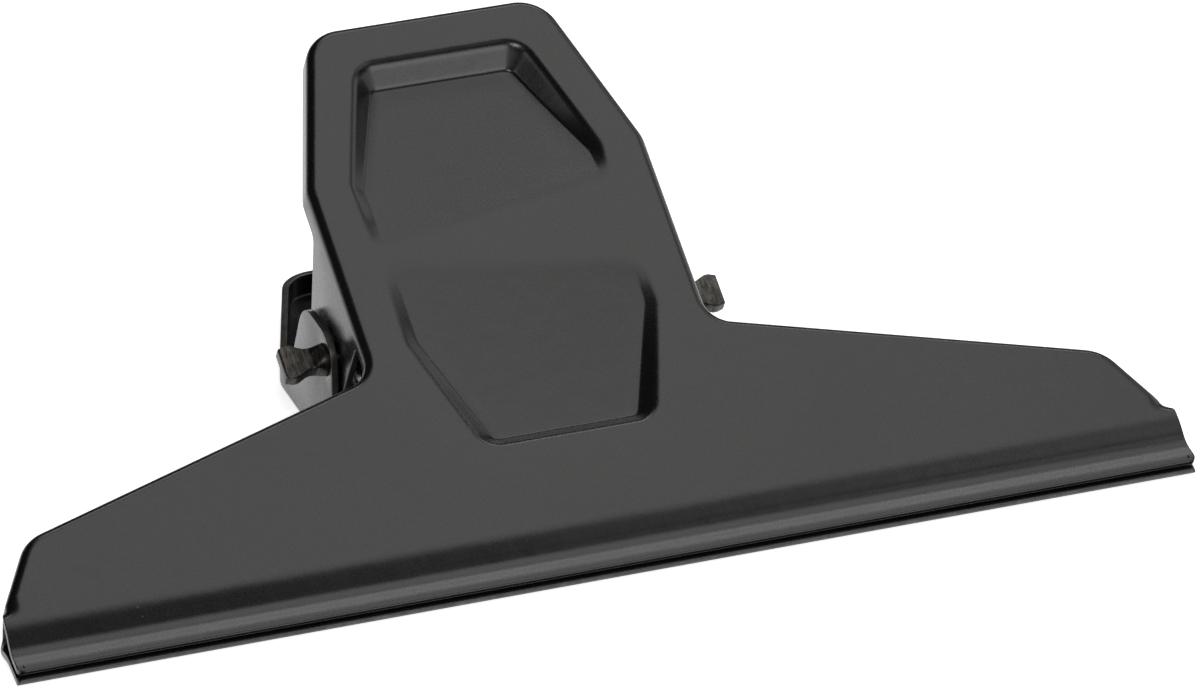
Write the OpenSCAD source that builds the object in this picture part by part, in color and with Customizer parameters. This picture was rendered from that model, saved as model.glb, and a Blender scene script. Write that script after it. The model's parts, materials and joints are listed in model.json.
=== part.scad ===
// Wide bulldog clip: two pressed steel plates, a pivot axle and a torsion spring.
// It lies on its rear plate, jaws towards -Y, handles towards +Y, +Z up.
// Each plate is drawn flat first, in its own frame: x along the jaws, y from
// the lips up the handle, outer face at z = 0 and the sheet below it.

/* [Jaws] */
// Width of the jaws from end to end
jaw_w = 125; // [118:1:150]
// Height of the square end of the jaws, up to the notch
jaw_end_h = 6.6; // [6:0.1:6.8]
// Height above the lips where the rim ends, over the notch
rim_foot_h = 7.6; // [7.5:0.1:8.6]
// Width over the two feet of the rim
foot_w = 123.2; // [120:0.1:123.4]
// How much narrower the jaws are at the notch, on each side
jaw_end_taper = 0.4; // [0:0.1:0.6]
// Distance between the two shoulders at the top of the jaws
shoulder_w = 114.6; // [108:0.2:117]
// Height of the shoulders above the lips
shoulder_h = 15.1; // [13:0.1:18]
// Radius of the shoulders
shoulder_r = 4.5; // [2.5:0.1:6]
// Height above the lips where the jaws step in towards each other
step_h = 6.4; // [5.8:0.1:6.6]
// Width of the flat band above the lips
band_h = 4.2; // [3.6:0.1:4.6]
// Outer face of the flat band above the plane between the jaws
band_z = 1.42; // [1.3:0.02:1.7]
// Outer face of the lip above the plane between the jaws
lip_z = 1.12; // [1.0:0.02:1.2]
// Gap between the closed lips
lip_gap = 0.12; // [0.08:0.02:0.3]
// How far the front lip stands back from the rear lip
lip_back = 0.25; // [0:0.05:0.5]

/* [Handles] */
// Length of each plate from the lips to the top of the handle
plate_len = 67.65; // [62:0.05:76]
// Width of the handle at its top
top_w = 25.4; // [20:0.1:30]
// Radius of the two top corners
top_r = 4.2; // [2.5:0.1:6]
// Height above the lips of the kink in each side of the handle
kink_h = 49.1; // [47.5:0.1:53]
// Radius of the kinks
kink_r = 4; // [2:0.1:8]
// Width of the front plate between its ears
neck_w = 36.4; // [34:0.1:40]
// Height above the lips where handle and jaws meet
neck_h = 26.6; // [24:0.1:27.2]
// Radius of the inside corners where handle and jaws meet
neck_r = 3; // [2:0.1:4]

/* [Sheet] */
// Thickness of the pressed sheet
sheet = 0.75; // [0.6:0.05:0.8]
// Outside radius of the rim
rim_r = 1; // [0.9:0.05:1.2]
// Depth of the rim behind the outer face
rim_depth = 3.1; // [2.4:0.1:4]
// Gap between the two rims where they come closest
rim_gap = 0.5; // [0.3:0.1:1]
// Angle between the two plates with the jaws shut
spread = 30.8; // [29:0.1:33]
// Distance in front of the lips where the two outer faces would meet
apex = 2.7; // [2.5:0.1:3.2]

/* [Recess in each handle] */
// Width of the recess at its top
recess_top_w = 18; // [14:0.1:18.6]
// Width of the recess at its two kinks
recess_w = 27.9; // [24:0.1:28.6]
// Width of the recess at its bottom
recess_foot_w = 19; // [14:0.1:21]
// Height of the top of the recess above the lips
recess_top_h = 62.5; // [60:0.1:63.2]
// Height of the upper kinks of the recess above the lips
recess_kink_h = 48.9; // [47.8:0.1:50.8]
// Height of the lower kinks of the recess above the lips
recess_low_h = 29.3; // [27.8:0.1:30.8]
// Height of the foot of the recess above the lips
recess_foot_h = 15.6; // [15:0.1:18]
// Depth of the recess at its top
recess_top_d = 3; // [1.5:0.1:3.4]
// Depth of the recess at its foot
recess_foot_d = 1; // [0.6:0.1:1.6]
// Run of the sloping walls at the top and foot of the recess
recess_wall = 1.7; // [1.2:0.1:2]
// Run of its side walls over that of the top and foot walls
recess_side = 1.2; // [0.9:0.05:1.3]
// Height where the upper ramp comes up level with the face
recess_fade_top = 42.7; // [41:0.1:44.6]
// Height where the lower ramp comes up level with the face
recess_fade_low = 36.7; // [34:0.1:38.6]

/* [Pivot] */
// Height of the axle above the lips, along the front plate
pivot_y = 34.7; // [34.1:0.1:35.5]
// Depth of the axle behind the outer face of the front plate
pivot_z = 9.6; // [9.2:0.1:10.2]
// Diameter of the axle
axle_d = 3.3; // [2.8:0.1:3.6]
// Running clearance round the axle, on the radius
axle_fit = 0.05; // [0.02:0.01:0.1]
// How far each end of the axle stands out from the rear ear
axle_out = 4.55; // [4:0.05:5.5]
// Thickness of the flattened ends
flat_t = 1.5; // [1.2:0.1:2]
// Width of the flattened ends where they flare
flat_w = 3.9; // [3.7:0.1:4.6]
// Side gap between each front ear and the rear ear outside it
ear_gap = 0.2; // [0.1:0.05:0.4]

/* [Ears] */
// Where the upper edge of a front ear leaves the handle, above the lips
ear_top_h = 46.1; // [44.8:0.1:46.7]
// Width of a front ear across its tip
ear_tip_w = 9.5; // [8.6:0.1:10.5]
// Metal of a front ear below the axle centre
ear_low = 3.9; // [3.2:0.1:4.1]
// Reach of a front ear past the axle centre
ear_reach = 4.6; // [4:0.1:5.5]
// Where the upper edge of a rear ear leaves the handle, past the axle centre
rear_ear_root = 12.9; // [12:0.1:13.5]
// Width of a rear ear across its tip
rear_ear_w = 9.2; // [8.4:0.1:10]
// Metal of a rear ear below the axle centre
rear_ear_low = 2.5; // [2.4:0.1:3.2]
// Reach of a rear ear past the axle centre
rear_ear_reach = 3.2; // [3:0.1:4.6]

/* [Spring] */
// Thickness of the spring wire
wire_d = 2; // [1.6:0.1:2.2]
// Radius of the coil, to the middle of the wire
coil_r = 3.3; // [3.2:0.1:3.8]
// Whole turns in the coil
coil_turns = 12; // [8:1:12]
// Side gap between the coil and each front ear
coil_side = 0.8; // [0.6:0.1:1.5]
// Height above the lips of the tip of each spring leg
leg_h = 50.2; // [46:0.1:53]
// Gap between a spring leg and the sheet that it presses on
leg_gap = 0.12; // [0.05:0.01:0.3]

/* [Hidden] */
eps = 0.01;
half = spread / 2;
arc_steps = 8;
rear_neck_w = neck_w + 2 * (sheet + ear_gap);
axle_len = rear_neck_w + 2 * axle_out;
black = [0.13, 0.13, 0.13];
steel = [0.42, 0.41, 0.40];
dark_steel = [0.25, 0.22, 0.20];

// A point of the front plate's frame as [y, z] of the lying clip
function front_at(y, z) = [
    (y + apex) * cos(spread) - z * sin(spread) - apex,
    (y + apex) * sin(spread) + z * cos(spread)
];
pivot = front_at(pivot_y, -pivot_z);
// Rounded paths: a path is a list of [x, y, radius]
function dir_deg(a, b) = atan2(b[1] - a[1], b[0] - a[0]);
function wrap(t) = t > 180 ? t - 360 : t <= -180 ? t + 360 : t;
function turn_at(p, i) = wrap(dir_deg(p[i], p[i + 1]) - dir_deg(p[i - 1], p[i]));
function cut_back(p, i) =
    i == 0 || i == len(p) - 1 ? 0 : p[i][2] * tan(abs(turn_at(p, i)) / 2);
function along(a, b, t) = let (d = dir_deg(a, b)) [a[0] + t * cos(d), a[1] + t * sin(d)];
function arc_centre(p, i) = let (
        d = dir_deg(p[i - 1], p[i]),
        s = sign(turn_at(p, i)),
        q = along(p[i], p[i - 1], cut_back(p, i))
    ) [q[0] - s * p[i][2] * sin(d), q[1] + s * p[i][2] * cos(d)];
// Points of corner i in n steps, with the path moved to its left by inset
function corner(p, i, inset, n) = let (
        c = arc_centre(p, i),
        t = turn_at(p, i),
        s = sign(t),
        r = p[i][2] - s * inset,
        a0 = dir_deg(p[i - 1], p[i]) - s * 90
    ) [for (k = [0:n]) let (a = a0 + t * k / n) c + r * [cos(a), sin(a)]];
function end_point(p, i, inset) = let (
        d = i == 0 ? dir_deg(p[0], p[1]) : dir_deg(p[i - 1], p[i])
    ) [p[i][0] - inset * sin(d), p[i][1] + inset * cos(d)];
function rounded(p, inset = 0) = concat(
    [end_point(p, 0, inset)],
    [for (i = [1:len(p) - 2]) each corner(p, i, inset, arc_steps)],
    [end_point(p, len(p) - 1, inset)]
);
function reversed(v) = [for (i = [len(v) - 1:-1:0]) v[i]];
function mirrored(p) = concat(p, [for (q = reversed(p)) [-q[0], q[1], q[2]]]);

// Outer line of the jaws, with y and z measured from the middle plane
lip_r = sheet + eps;
function jaw_line(back) = [
    [rim_foot_h + 1.1, (rim_foot_h + 1.1 + apex) * tan(half), 0],
    [step_h, (step_h + apex) * tan(half), 4],
    [band_h, band_z, 3.5],
    [back, lip_z, lip_r],
    [back, lip_gap / 2, 0]
];
// Middle of the lying clip in y, between the foremost lip and the rear handle's top
front_lip = arc_centre(jaw_line(lip_back), 3);
rear_lip = arc_centre(jaw_line(0), 3);
lips_front = min(
    (front_lip[0] + apex) * cos(half) - front_lip[1] * sin(half) - lip_r,
    apex * cos(half) + lip_gap / 2 * sin(half)
) - apex;
y_mid = (plate_len + lips_front) / 2;
// The rear lip stands a little proud of the rear plate's face, which lifts the clip
lift = max(0, rear_lip[1] * cos(half) + lip_r - (rear_lip[0] + apex) * sin(half));

// The clip laid on the table, centred on the origin
module lying() {
    translate([0, -y_mid, lift])
        children();
}

// Right-hand side of a plate's outline, from the foot of the rim to the handle's top
function plate_side(neck) = [
    [foot_w / 2, rim_foot_h, 0],
    [shoulder_w / 2, shoulder_h, shoulder_r],
    [neck / 2, neck_h, neck_r],
    [neck / 2, kink_h, kink_r],
    [top_w / 2, plate_len, top_r]
];
// The bend of the rim as [distance in from the edge, z], outside and inside
bend_steps = 5;
function bend(r, deg) = [rim_r - r * cos(deg), r * sin(deg) - rim_r];
rim_outside = concat(
    [[0, -rim_depth]],
    [for (k = [0:bend_steps]) bend(rim_r, 90 * k / bend_steps)]
);
rim_inside = concat(
    [for (k = [bend_steps:-1:0]) bend(rim_r - sheet, 90 * k / bend_steps)],
    [[sheet, -rim_depth]]
);

// A plate and its rim pressed as one dish: the outline drawn in from its free
// edge, round the outside of the bend, and back to that edge along the inside
module dish(neck) {
    path = mirrored(plate_side(neck));
    slant = sin(dir_deg(path[0], path[1]));
    function ring(inset) = concat(
        [[foot_w / 2 - inset / slant, rim_foot_h]],
        [for (i = [1:len(path) - 2])
            each corner(path, i, inset, max(2, ceil(abs(turn_at(path, i)) / 9)))],
        [[-foot_w / 2 + inset / slant, rim_foot_h]]
    );
    rings = [for (q = concat(rim_outside, rim_inside))
        [for (v = ring(q[0])) [v[0], v[1], q[1]]]];
    n = len(rings[0]);
    last = len(rings) - 1;
    face = len(rim_outside) - 1;
    polyhedron(
        points = [for (r = rings) each r],
        faces = concat(
            [for (k = [0:n / 2 - 2]) let (a = face * n + k, b = (face + 1) * n - 1 - k)
                each [[b, b - 1, a + 1, a], [a + n, a + n + 1, b + n - 1, b + n]]],
            [for (j = [0:last]) if (j != face) for (k = [0:n - 2]) let (
                    a = j * n + k, b = (j == last ? 0 : j + 1) * n + k)
                each [[a, b, b + 1], [a, b + 1, a + 1]]],
            [for (j = [0:face]) let (
                    m = last - j, e = n - 1, q = n * [m, m - 1, j + 1, j])
                each j == face ? [[(face + 1) * n, (face + 1) * n + e, face * n + e, face * n]]
                    : [q, [q[3] + e, q[2] + e, q[1] + e, q[0] + e]]]
        )
    );
}

// Everything behind the plane halfway between the two plates
module behind_middle(gap) {
    translate([0, -apex, 0])
        rotate([-half, 0, 0])
            translate([-jaw_w, -jaw_w, -jaw_w + gap / 2])
                cube([2 * jaw_w, 3 * jaw_w, jaw_w]);
}

module jaw_section(back) {
    polygon(concat(rounded(jaw_line(back)), reversed(rounded(jaw_line(back), sheet))));
}

// Plan of the jaws, with the square ends and the notch over them
module jaw_plan() {
    side = [
        [jaw_w / 2 + jaw_end_taper / jaw_end_h, -1, 0],
        [jaw_w / 2 - jaw_end_taper, jaw_end_h, 0.7],
        [jaw_w / 2 - 1.1, jaw_end_h + 0.3, 0.5],
        [jaw_w / 2 - 2.3, jaw_end_h + 1.3, 0.4],
        [jaw_w / 2 - 3, rim_foot_h + 2, 0]
    ];
    polygon(concat(rounded(side), reversed([for (q = rounded(side)) [-q[0], q[1]]])));
}

module jaw(back) {
    intersection() {
        translate([0, -apex, 0])
            rotate([-half, 0, 0])
                translate([-jaw_w / 2, apex, 0])
                    rotate([90, 0, 90])
                        linear_extrude(height = jaw_w)
                            jaw_section(back);
        translate([0, 0, -jaw_end_h])
            linear_extrude(height = 2 * jaw_end_h)
                jaw_plan();
    }
}

// Plan of one end of the recess, as half a path from the middle line out.
// s draws it in from its edge, and fade is where its ramp meets the face.
function recess_top(s) = [
    [0, recess_top_h - s, 0],
    [recess_top_w / 2 - (recess_side - 0.3) * s, recess_top_h - s, 3 - 1.1 * s],
    [recess_w / 2 - recess_side * s, recess_kink_h - 0.15 * s, 3],
    [recess_w / 2 - recess_side * s, recess_fade_top + s, 0]
];
function recess_foot(s) = [
    [0, recess_foot_h + s, 0],
    [recess_foot_w / 2 - (recess_side - 0.3) * s, recess_foot_h + s, 3 - 1.1 * s],
    [recess_w / 2 - recess_side * s, recess_low_h + 0.2 * s, 3],
    [recess_w / 2 - recess_side * s, recess_fade_low - s, 0]
];
// Share of the wall's run and of its depth, from the soft edge to the floor
wall_steps = [[0, 0], [0.22, 0.05], [0.42, 0.2], [0.58, 0.45], [0.78, 0.74], [1, 1]];

// One end of the recess as a lofted solid. down is its depth at the end wall,
// y0 and y1 are where its ramp starts and ends, grow widens it for the back.
module recess_loft(top, down, y0, y1, grow, z0, cap) {
    function half_path(s) = rounded(top ? recess_top(s) : recess_foot(s));
    function ring(s) = let (h = half_path(s))
        top ? concat(reversed(h), [for (i = [1:len(h) - 1]) [-h[i][0], h[i][1]]])
            : concat([for (i = [len(h) - 1:-1:1]) [-h[i][0], h[i][1]]], h);
    function ramp(y) = -down * (y - y0) / (y1 - y0);
    count = len(ring(0));
    rings = [for (w = wall_steps) let (r = ring(recess_wall * w[0] - grow))
        [for (k = [0:count - 1]) let (m = k == 0 || k == count - 1 ? 1 : w[1])
            [r[k][0], r[k][1], z0 + m * min(0, ramp(r[k][1]))]]];
    lid = [for (q = rings[0]) [q[0], q[1], cap]];
    all = concat([lid], rings);
    points = [for (r = all) each r];
    last = len(all) - 1;
    polyhedron(
        points = points,
        faces = concat(
            [[for (k = [count - 1:-1:0]) k]],
            [for (j = [0:last - 1]) for (k = [0:count - 1]) let (
                    m = (k + 1) % count, a = j * count, b = a + count)
                each [[a + k, a + m, b + m], [a + k, b + m, b + k]]],
            [[for (k = [0:count - 1]) last * count + k]]
        )
    );
}

module recess_pair(grow, z0, cap) {
    recess_loft(true, recess_top_d, recess_fade_top, recess_top_h - recess_wall,
        grow, z0, cap);
    recess_loft(false, recess_foot_d, recess_fade_low, recess_foot_h + recess_wall,
        grow, z0, cap);
}

// A pressed plate without its ears
module plate_form(neck, back) {
    difference() {
        union() {
            difference() {
                dish(neck);
                behind_middle(rim_gap);
                for (s = [-1, 1])
                    translate([s * neck / 2 - 2, neck_h + 0.9, -rim_depth - 1])
                        cube([4, pivot_y - ear_low - neck_h - 0.9, rim_depth - 0.7]);
            }
            jaw(back);
            recess_pair(0.42, -sheet, -sheet / 2);
        }
        recess_pair(0, 0, 1);
    }
}

// An ear cut from sheet, outline in [y, z], from x0 towards +x
module ear(outline, x0) {
    translate([x0, 0, 0])
        rotate([90, 0, 90])
            linear_extrude(height = sheet)
                polygon(rounded(outline));
}

module axle_hole(y, z) {
    translate([-axle_len, y, z])
        rotate([0, 90, 0])
            cylinder(r = axle_d / 2 + axle_fit, h = 2 * axle_len, $fn = 64);
}

module front_plate() {
    low = pivot_y - ear_low;
    tip = -pivot_z - ear_reach;
    outline = [
        [low, -rim_r, 0],
        [low, tip, 3.6],
        [low + ear_tip_w, tip, 4.8],
        [ear_top_h, -rim_r, 0]
    ];
    color(black)
        lying()
            translate([0, -apex, 0])
                rotate([spread, 0, 0])
                    translate([0, apex, 0])
                        difference() {
                            union() {
                                plate_form(neck_w, lip_back);
                                ear(outline, neck_w / 2 - sheet);
                                ear(outline, -neck_w / 2);
                            }
                            axle_hole(pivot_y, -pivot_z);
                        }
}

module rear_plate() {
    low = pivot[0] - rear_ear_low;
    tip = -pivot[1] - rear_ear_reach;
    outline = [
        [low, -rim_r, 0],
        [low, tip, 3.2],
        [low + rear_ear_w, tip, 4.4],
        [pivot[0] + rear_ear_root, -rim_r, 0]
    ];
    color(black)
        lying()
            mirror([0, 0, 1])
                difference() {
                    union() {
                        plate_form(rear_neck_w, 0);
                        ear(outline, rear_neck_w / 2 - sheet);
                        ear(outline, -rear_neck_w / 2);
                    }
                    axle_hole(pivot[0], -pivot[1]);
                }
}

// One flattened end: the round shaft is squeezed to a waist and flares to a tail
module flat_end() {
    waist = axle_d / 2 - 0.38;
    start = rear_neck_w / 2 + 0.3;
    tail = axle_len / 2;
    side = rounded([
        [start, waist, 0],
        [start + 1.1, waist, 0.8],
        [tail - 1.7, flat_w / 2, 1.2],
        [tail, flat_w / 2 - 0.35, 0.35],
        [tail, 0, 0]
    ]);
    function squeeze(w) = [
        [start - 1.2, -axle_d / 2], [start, -axle_d / 2], [start + 1.1, -w],
        [start + 1.1, w], [start, axle_d / 2], [start - 1.2, axle_d / 2]
    ];
    rotate([90, 0, 0])
        translate([0, 0, -flat_t / 2])
            linear_extrude(height = flat_t)
                polygon(concat(side, reversed([for (q = side) [q[0], -q[1]]])));
    intersection() {
        rotate([0, 90, 0])
            cylinder(d = axle_d, h = start + 1.1, $fn = 64);
        linear_extrude(height = axle_d, center = true)
            polygon(squeeze(flat_t / 2));
        rotate([90, 0, 0])
            linear_extrude(height = axle_d, center = true)
                polygon(squeeze(waist));
    }
}

module pivot_axle() {
    shaft = rear_neck_w / 2 + 0.3;
    color(dark_steel)
        lying()
            translate([0, pivot[0], pivot[1]])
                rotate([spread + 90, 0, 0]) {
                    translate([-shaft, 0, 0])
                        rotate([0, 90, 0])
                            cylinder(d = axle_d, h = 2 * shaft, $fn = 64);
                    flat_end();
                    mirror([1, 0, 0]) flat_end();
                }
}

// The spring: one wire, from the leg under the front plate round the coil to
// the leg over the rear plate. Angles turn about the axle, from +Y to +Z.
tip_z = sheet + wire_d / 2 + leg_gap;
front_tip = front_at(leg_h, -tip_z);
rear_tip = [leg_h, tip_z];
function bearing(q) = atan2(q[1] - pivot[1], q[0] - pivot[0]);
start_deg = bearing(front_tip) + acos(coil_r / norm(front_tip - pivot));
stop_deg = bearing(rear_tip) - acos(coil_r / norm(rear_tip - pivot)) + 360 * (coil_turns + 1);
swept = stop_deg - start_deg;
coil_rings = round(8 * swept / 360);
coil_half = neck_w / 2 - sheet - coil_side - wire_d / 2;
pitch = 2 * coil_half * 360 / swept;
function coil_at(k) = let (a = start_deg + swept * k / coil_rings)
    [-coil_half + 2 * coil_half * k / coil_rings, pivot[0] + coil_r * cos(a),
        pivot[1] + coil_r * sin(a)];
function coil_out(k) = let (a = start_deg + swept * k / coil_rings) [0, cos(a), sin(a)];
function toward(a, b, t) = a + (b - a) * t / norm(b - a);
leg_a = [-coil_half, front_tip[0], front_tip[1]];
leg_b = [coil_half, rear_tip[0], rear_tip[1]];
wire_line = concat(
    [leg_a, toward(leg_a, coil_at(0), wire_d)],
    [for (k = [0:coil_rings]) coil_at(k)],
    [toward(leg_b, coil_at(coil_rings), wire_d), leg_b]
);
wire_out = concat(
    [coil_out(0), coil_out(0)],
    [for (k = [0:coil_rings]) coil_out(k)],
    [coil_out(coil_rings), coil_out(coil_rings)]
);
wire_n = len(wire_line);
function wire_dir(i) = let (
        a = wire_line[max(0, i - 1)],
        b = wire_line[min(wire_n - 1, i + 1)]
    ) (b - a) / norm(b - a);
wire_rings = [for (i = [0:wire_n - 1]) let (
        t = wire_dir(i),
        u = cross(t, wire_out[i]) / norm(cross(t, wire_out[i])),
        v = cross(u, t)
    ) [for (s = [0:5]) wire_line[i] + wire_d / 2 * (cos(60 * s) * v + sin(60 * s) * u)]];
// Least distance between points of the wire that lie at least half a turn apart
wire_gap = min([for (i = [0:wire_n - 1]) for (j = [i + 5:1:wire_n - 1])
    norm(wire_line[i] - wire_line[j])]) - wire_d;
echo(wire_least_gap = wire_gap, coil_pitch = pitch);
echo(pivot_at = [0, pivot[0] - y_mid, pivot[1] + lift], lift = lift);

module torsion_spring() {
    color(steel)
        lying()
            polyhedron(
                points = [for (r = wire_rings) each r],
                faces = concat(
                    [[for (s = [5:-1:0]) s]],
                    [for (i = [0:wire_n - 2]) for (s = [0:5]) let (
                            m = (s + 1) % 6, a = 6 * i, b = a + 6)
                        each [[a + s, a + m, b + m], [a + s, b + m, b + s]]],
                    [[for (s = [0:5]) 6 * (wire_n - 1) + s]]
                )
            );
}

front_plate();
rear_plate();
pivot_axle();
torsion_spring();
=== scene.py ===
# %% [markdown]
# # A wide bulldog clip
# The clip is two pressed steel plates, black enamelled, that swing on one axle
# and are held shut by a wound spring. The measured solids arrive as a fixed
# frame. This lesson draws each piece again as the press and the wire bender
# leave it, with soft bends and rounded sheet edges, and gives it its finish.

# %% The measured clip
import json
import math

import bmesh
import bpy
import numpy as np
from mathutils import Matrix, Quaternion, Vector, geometry


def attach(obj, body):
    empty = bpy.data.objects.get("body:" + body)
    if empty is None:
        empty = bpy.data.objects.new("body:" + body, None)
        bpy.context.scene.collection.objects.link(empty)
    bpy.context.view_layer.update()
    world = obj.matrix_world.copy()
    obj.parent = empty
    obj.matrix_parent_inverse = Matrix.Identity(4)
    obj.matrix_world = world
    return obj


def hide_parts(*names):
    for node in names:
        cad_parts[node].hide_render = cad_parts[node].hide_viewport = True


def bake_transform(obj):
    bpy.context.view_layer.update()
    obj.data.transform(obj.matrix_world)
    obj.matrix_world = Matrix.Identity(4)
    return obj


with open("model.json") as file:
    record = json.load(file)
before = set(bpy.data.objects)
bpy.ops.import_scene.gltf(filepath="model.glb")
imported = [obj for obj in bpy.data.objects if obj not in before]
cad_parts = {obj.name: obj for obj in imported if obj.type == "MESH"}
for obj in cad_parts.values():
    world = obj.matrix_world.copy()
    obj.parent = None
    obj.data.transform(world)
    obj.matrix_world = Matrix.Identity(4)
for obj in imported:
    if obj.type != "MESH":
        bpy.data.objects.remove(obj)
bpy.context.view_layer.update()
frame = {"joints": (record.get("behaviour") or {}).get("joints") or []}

# %% [markdown]
# A plate is drawn flat, in millimetres: x along the jaws, y from the lips up
# the handle, outer face at z = 0 and the sheet below it. The front plate is
# then tipped up round the line where the two faces meet, and the rear plate is
# turned over.

# %% Sizes of the two plates, in millimetres
MM = 0.001
TINY, SLACK = 1e-6, 0.01
SHEET, RIM_R, RIM_DEPTH, RIM_GAP = 0.75, 1.0, 3.1, 0.5
SPREAD, APEX = math.radians(30.8), 2.7
HALF = SPREAD / 2
JAW_W, JAW_TAPER = 125.0, 0.4
FOOT_W, FOOT_H = 123.2, 7.6
SHOULDER_W, SHOULDER_H, SHOULDER_R = 114.6, 15.1, 4.5
NECK_W, NECK_H, NECK_R = 36.4, 26.6, 3.0
KINK_H, KINK_R = 49.1, 4.0
TOP_W, PLATE_LEN, TOP_R = 25.4, 67.65, 4.2
PIVOT_Y, PIVOT_Z, AXLE_D, AXLE_FIT = 34.7, 9.6, 3.3, 0.05
EAR_GAP = 0.2
REAR_NECK_W = NECK_W + 2 * (SHEET + EAR_GAP)
LIP_R, LIP_GAP = SHEET + 0.01, 0.12


def front_at(y, z):
    """A point of the front plate's side view, as y and z of the lying clip."""
    return ((y + APEX) * math.cos(SPREAD) - z * math.sin(SPREAD) - APEX,
            (y + APEX) * math.sin(SPREAD) + z * math.cos(SPREAD))


PIVOT = front_at(PIVOT_Y, -PIVOT_Z)
joint = frame["joints"][0]
Y_MID = PIVOT[0] - joint["pos_m"][1] / MM
LIFT = joint["pos_m"][2] / MM - PIVOT[1]
print(f"middle of the clip at {Y_MID:.3f} mm, lips lift it by {LIFT:.3f} mm")

# %% [markdown]
# Bent sheet is all straight runs joined by arcs. So a path is a list of corners
# with a radius each, and it can be moved sideways by the same amount everywhere.

# %% Paths with rounded corners


def heading(a, b):
    """Direction from a to b, as an angle."""
    return math.atan2(b[1] - a[1], b[0] - a[0])


def turn_at(path, i):
    """How much the path turns at corner i, to the left if positive."""
    turn = heading(path[i], path[i + 1]) - heading(path[i - 1], path[i])
    return (turn + math.pi) % (2 * math.pi) - math.pi


def arc(path, i, inset, steps):
    """Corner i of a path as points, with the path moved to its left by inset."""
    turn, way = turn_at(path, i), heading(path[i - 1], path[i])
    side, radius = math.copysign(1, turn), path[i][2]
    back = radius * math.tan(abs(turn) / 2)
    cx = path[i][0] - back * math.cos(way) - side * radius * math.sin(way)
    cy = path[i][1] - back * math.sin(way) + side * radius * math.cos(way)
    start = way - side * math.pi / 2
    reach = radius - side * inset
    return [(cx + reach * math.cos(start + turn * k / steps),
             cy + reach * math.sin(start + turn * k / steps)) for k in range(steps + 1)]


def shifted_end(path, i, inset):
    """The first or last point of the path (i is 0 or -1), moved to its left by inset."""
    way = heading(path[0], path[1]) if i == 0 else heading(path[-2], path[-1])
    return (path[i][0] - inset * math.sin(way), path[i][1] + inset * math.cos(way))


def rounded(path, inset=0.0, fine=6.0, step=9.0):
    """The whole path as points: no step turns more than fine degrees or is longer than step."""
    points = [shifted_end(path, 0, inset)]
    for i in range(1, len(path) - 1):
        if path[i][2] < TINY:
            points.append((path[i][0], path[i][1]))
        else:
            turn = abs(turn_at(path, i))
            by_turn = math.ceil(math.degrees(turn) / fine)
            by_length = math.ceil(turn * path[i][2] / step)
            points += arc(path, i, inset, max(2, by_turn, by_length))
    return points + [shifted_end(path, -1, inset)]


def steps_to(a, b, parts):
    """Points in even steps from a to b, without a itself."""
    return [tuple(np.add(a, np.subtract(b, a) * k / parts)) for k in range(1, parts + 1)]


def spaced(points, gap):
    """The same line with more points, none further apart than gap."""
    line = [points[0]]
    for a, b in zip(points, points[1:]):
        line += steps_to(a, b, max(1, math.ceil(math.dist(a, b) / gap)))
    return line


# %% [markdown]
# The skin of a plate is its painted outer surface, drawn as patches: the rim,
# the face, the recess, the ears and the jaw. A dictionary of points welds them
# while they are drawn, so no seam is left to repair.

# %% A skin that welds itself
FILL_INSIDE = 1


class Skin:
    """Points and faces of one plate's outer surface, in millimetres."""

    def __init__(self):
        self.points, self.faces, self.known = [], [], {}

    def point(self, x, y, z):
        """The number of the point at this place, added if it is new."""
        key = (round(x, 3), round(y, 3), round(z, 3))
        if key not in self.known:
            self.known[key] = len(self.points)
            self.points.append((x, y, z))
        return self.known[key]

    def face(self, corners):
        """One face, without corners that fall together."""
        ring = [self.point(*c) for c in corners]
        ring = [v for i, v in enumerate(ring) if v != ring[i - 1]]
        if len(set(ring)) > 2:
            self.faces.append(ring)

    def strip(self, low, high, closed=False):
        """Quads between two lines of points with the same count."""
        n = len(low)
        for i in range(n if closed else n - 1):
            k = (i + 1) % n
            self.face([low[i], low[k], high[k], high[i]])

    def panel(self, border, holes, place):
        """Fills a flat border, less its holes. place turns a flat point into x, y, z."""
        loops = [border] + holes
        flat = [Vector(p) for loop in loops for p in loop]
        edges, start = [], 0
        for loop in loops:
            n = len(loop)
            edges += [(start + i, start + (i + 1) % n) for i in range(n)]
            start += n
        spots, _, triangles, *_ = geometry.delaunay_2d_cdt(flat, edges, [], FILL_INSIDE, TINY)
        for tri in triangles:
            middle = sum((spots[v] for v in tri), Vector((0, 0))) / len(tri)
            if not any(inside(middle, hole) for hole in holes):
                self.face([place(*spots[v]) for v in tri])


def inside(spot, loop):
    """Whether a flat point lies within a closed loop."""
    hit, n = False, len(loop)
    for i in range(n):
        (ax, ay), (bx, by) = loop[i], loop[(i + 1) % n]
        if (ay > spot[1]) != (by > spot[1]):
            if spot[0] < ax + (spot[1] - ay) * (bx - ax) / (by - ay):
                hit = not hit
    return hit


# %% [markdown]
# The rim is the edge of the blank turned back through a right angle, up one
# side, over the handle and down the other side. It gets shallower where the two
# plates close on each other, and beside each ear a relief notch is cut in it.

# %% The line of the rim
RELIEF_DEPTH, RELIEF_REACH, RELIEF_START = 1.7, 2.0, NECK_H + 0.9
RELIEF_FROM, RELIEF_TO = RELIEF_START - 0.3, RELIEF_START + 0.4
PANEL_LOW, PANEL_HIGH = 29.4, 48.2
BLEND_TOP, BLEND_LOW = 8.8, 6.4
SLANT = math.sin(math.atan2(SHOULDER_H - FOOT_H, (FOOT_W - SHOULDER_W) / 2))


def rim_x(y):
    """Half width of the plate at the slanted end of the rim."""
    return FOOT_W / 2 + (FOOT_H - y) * (FOOT_W - SHOULDER_W) / 2 / (SHOULDER_H - FOOT_H)


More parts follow.
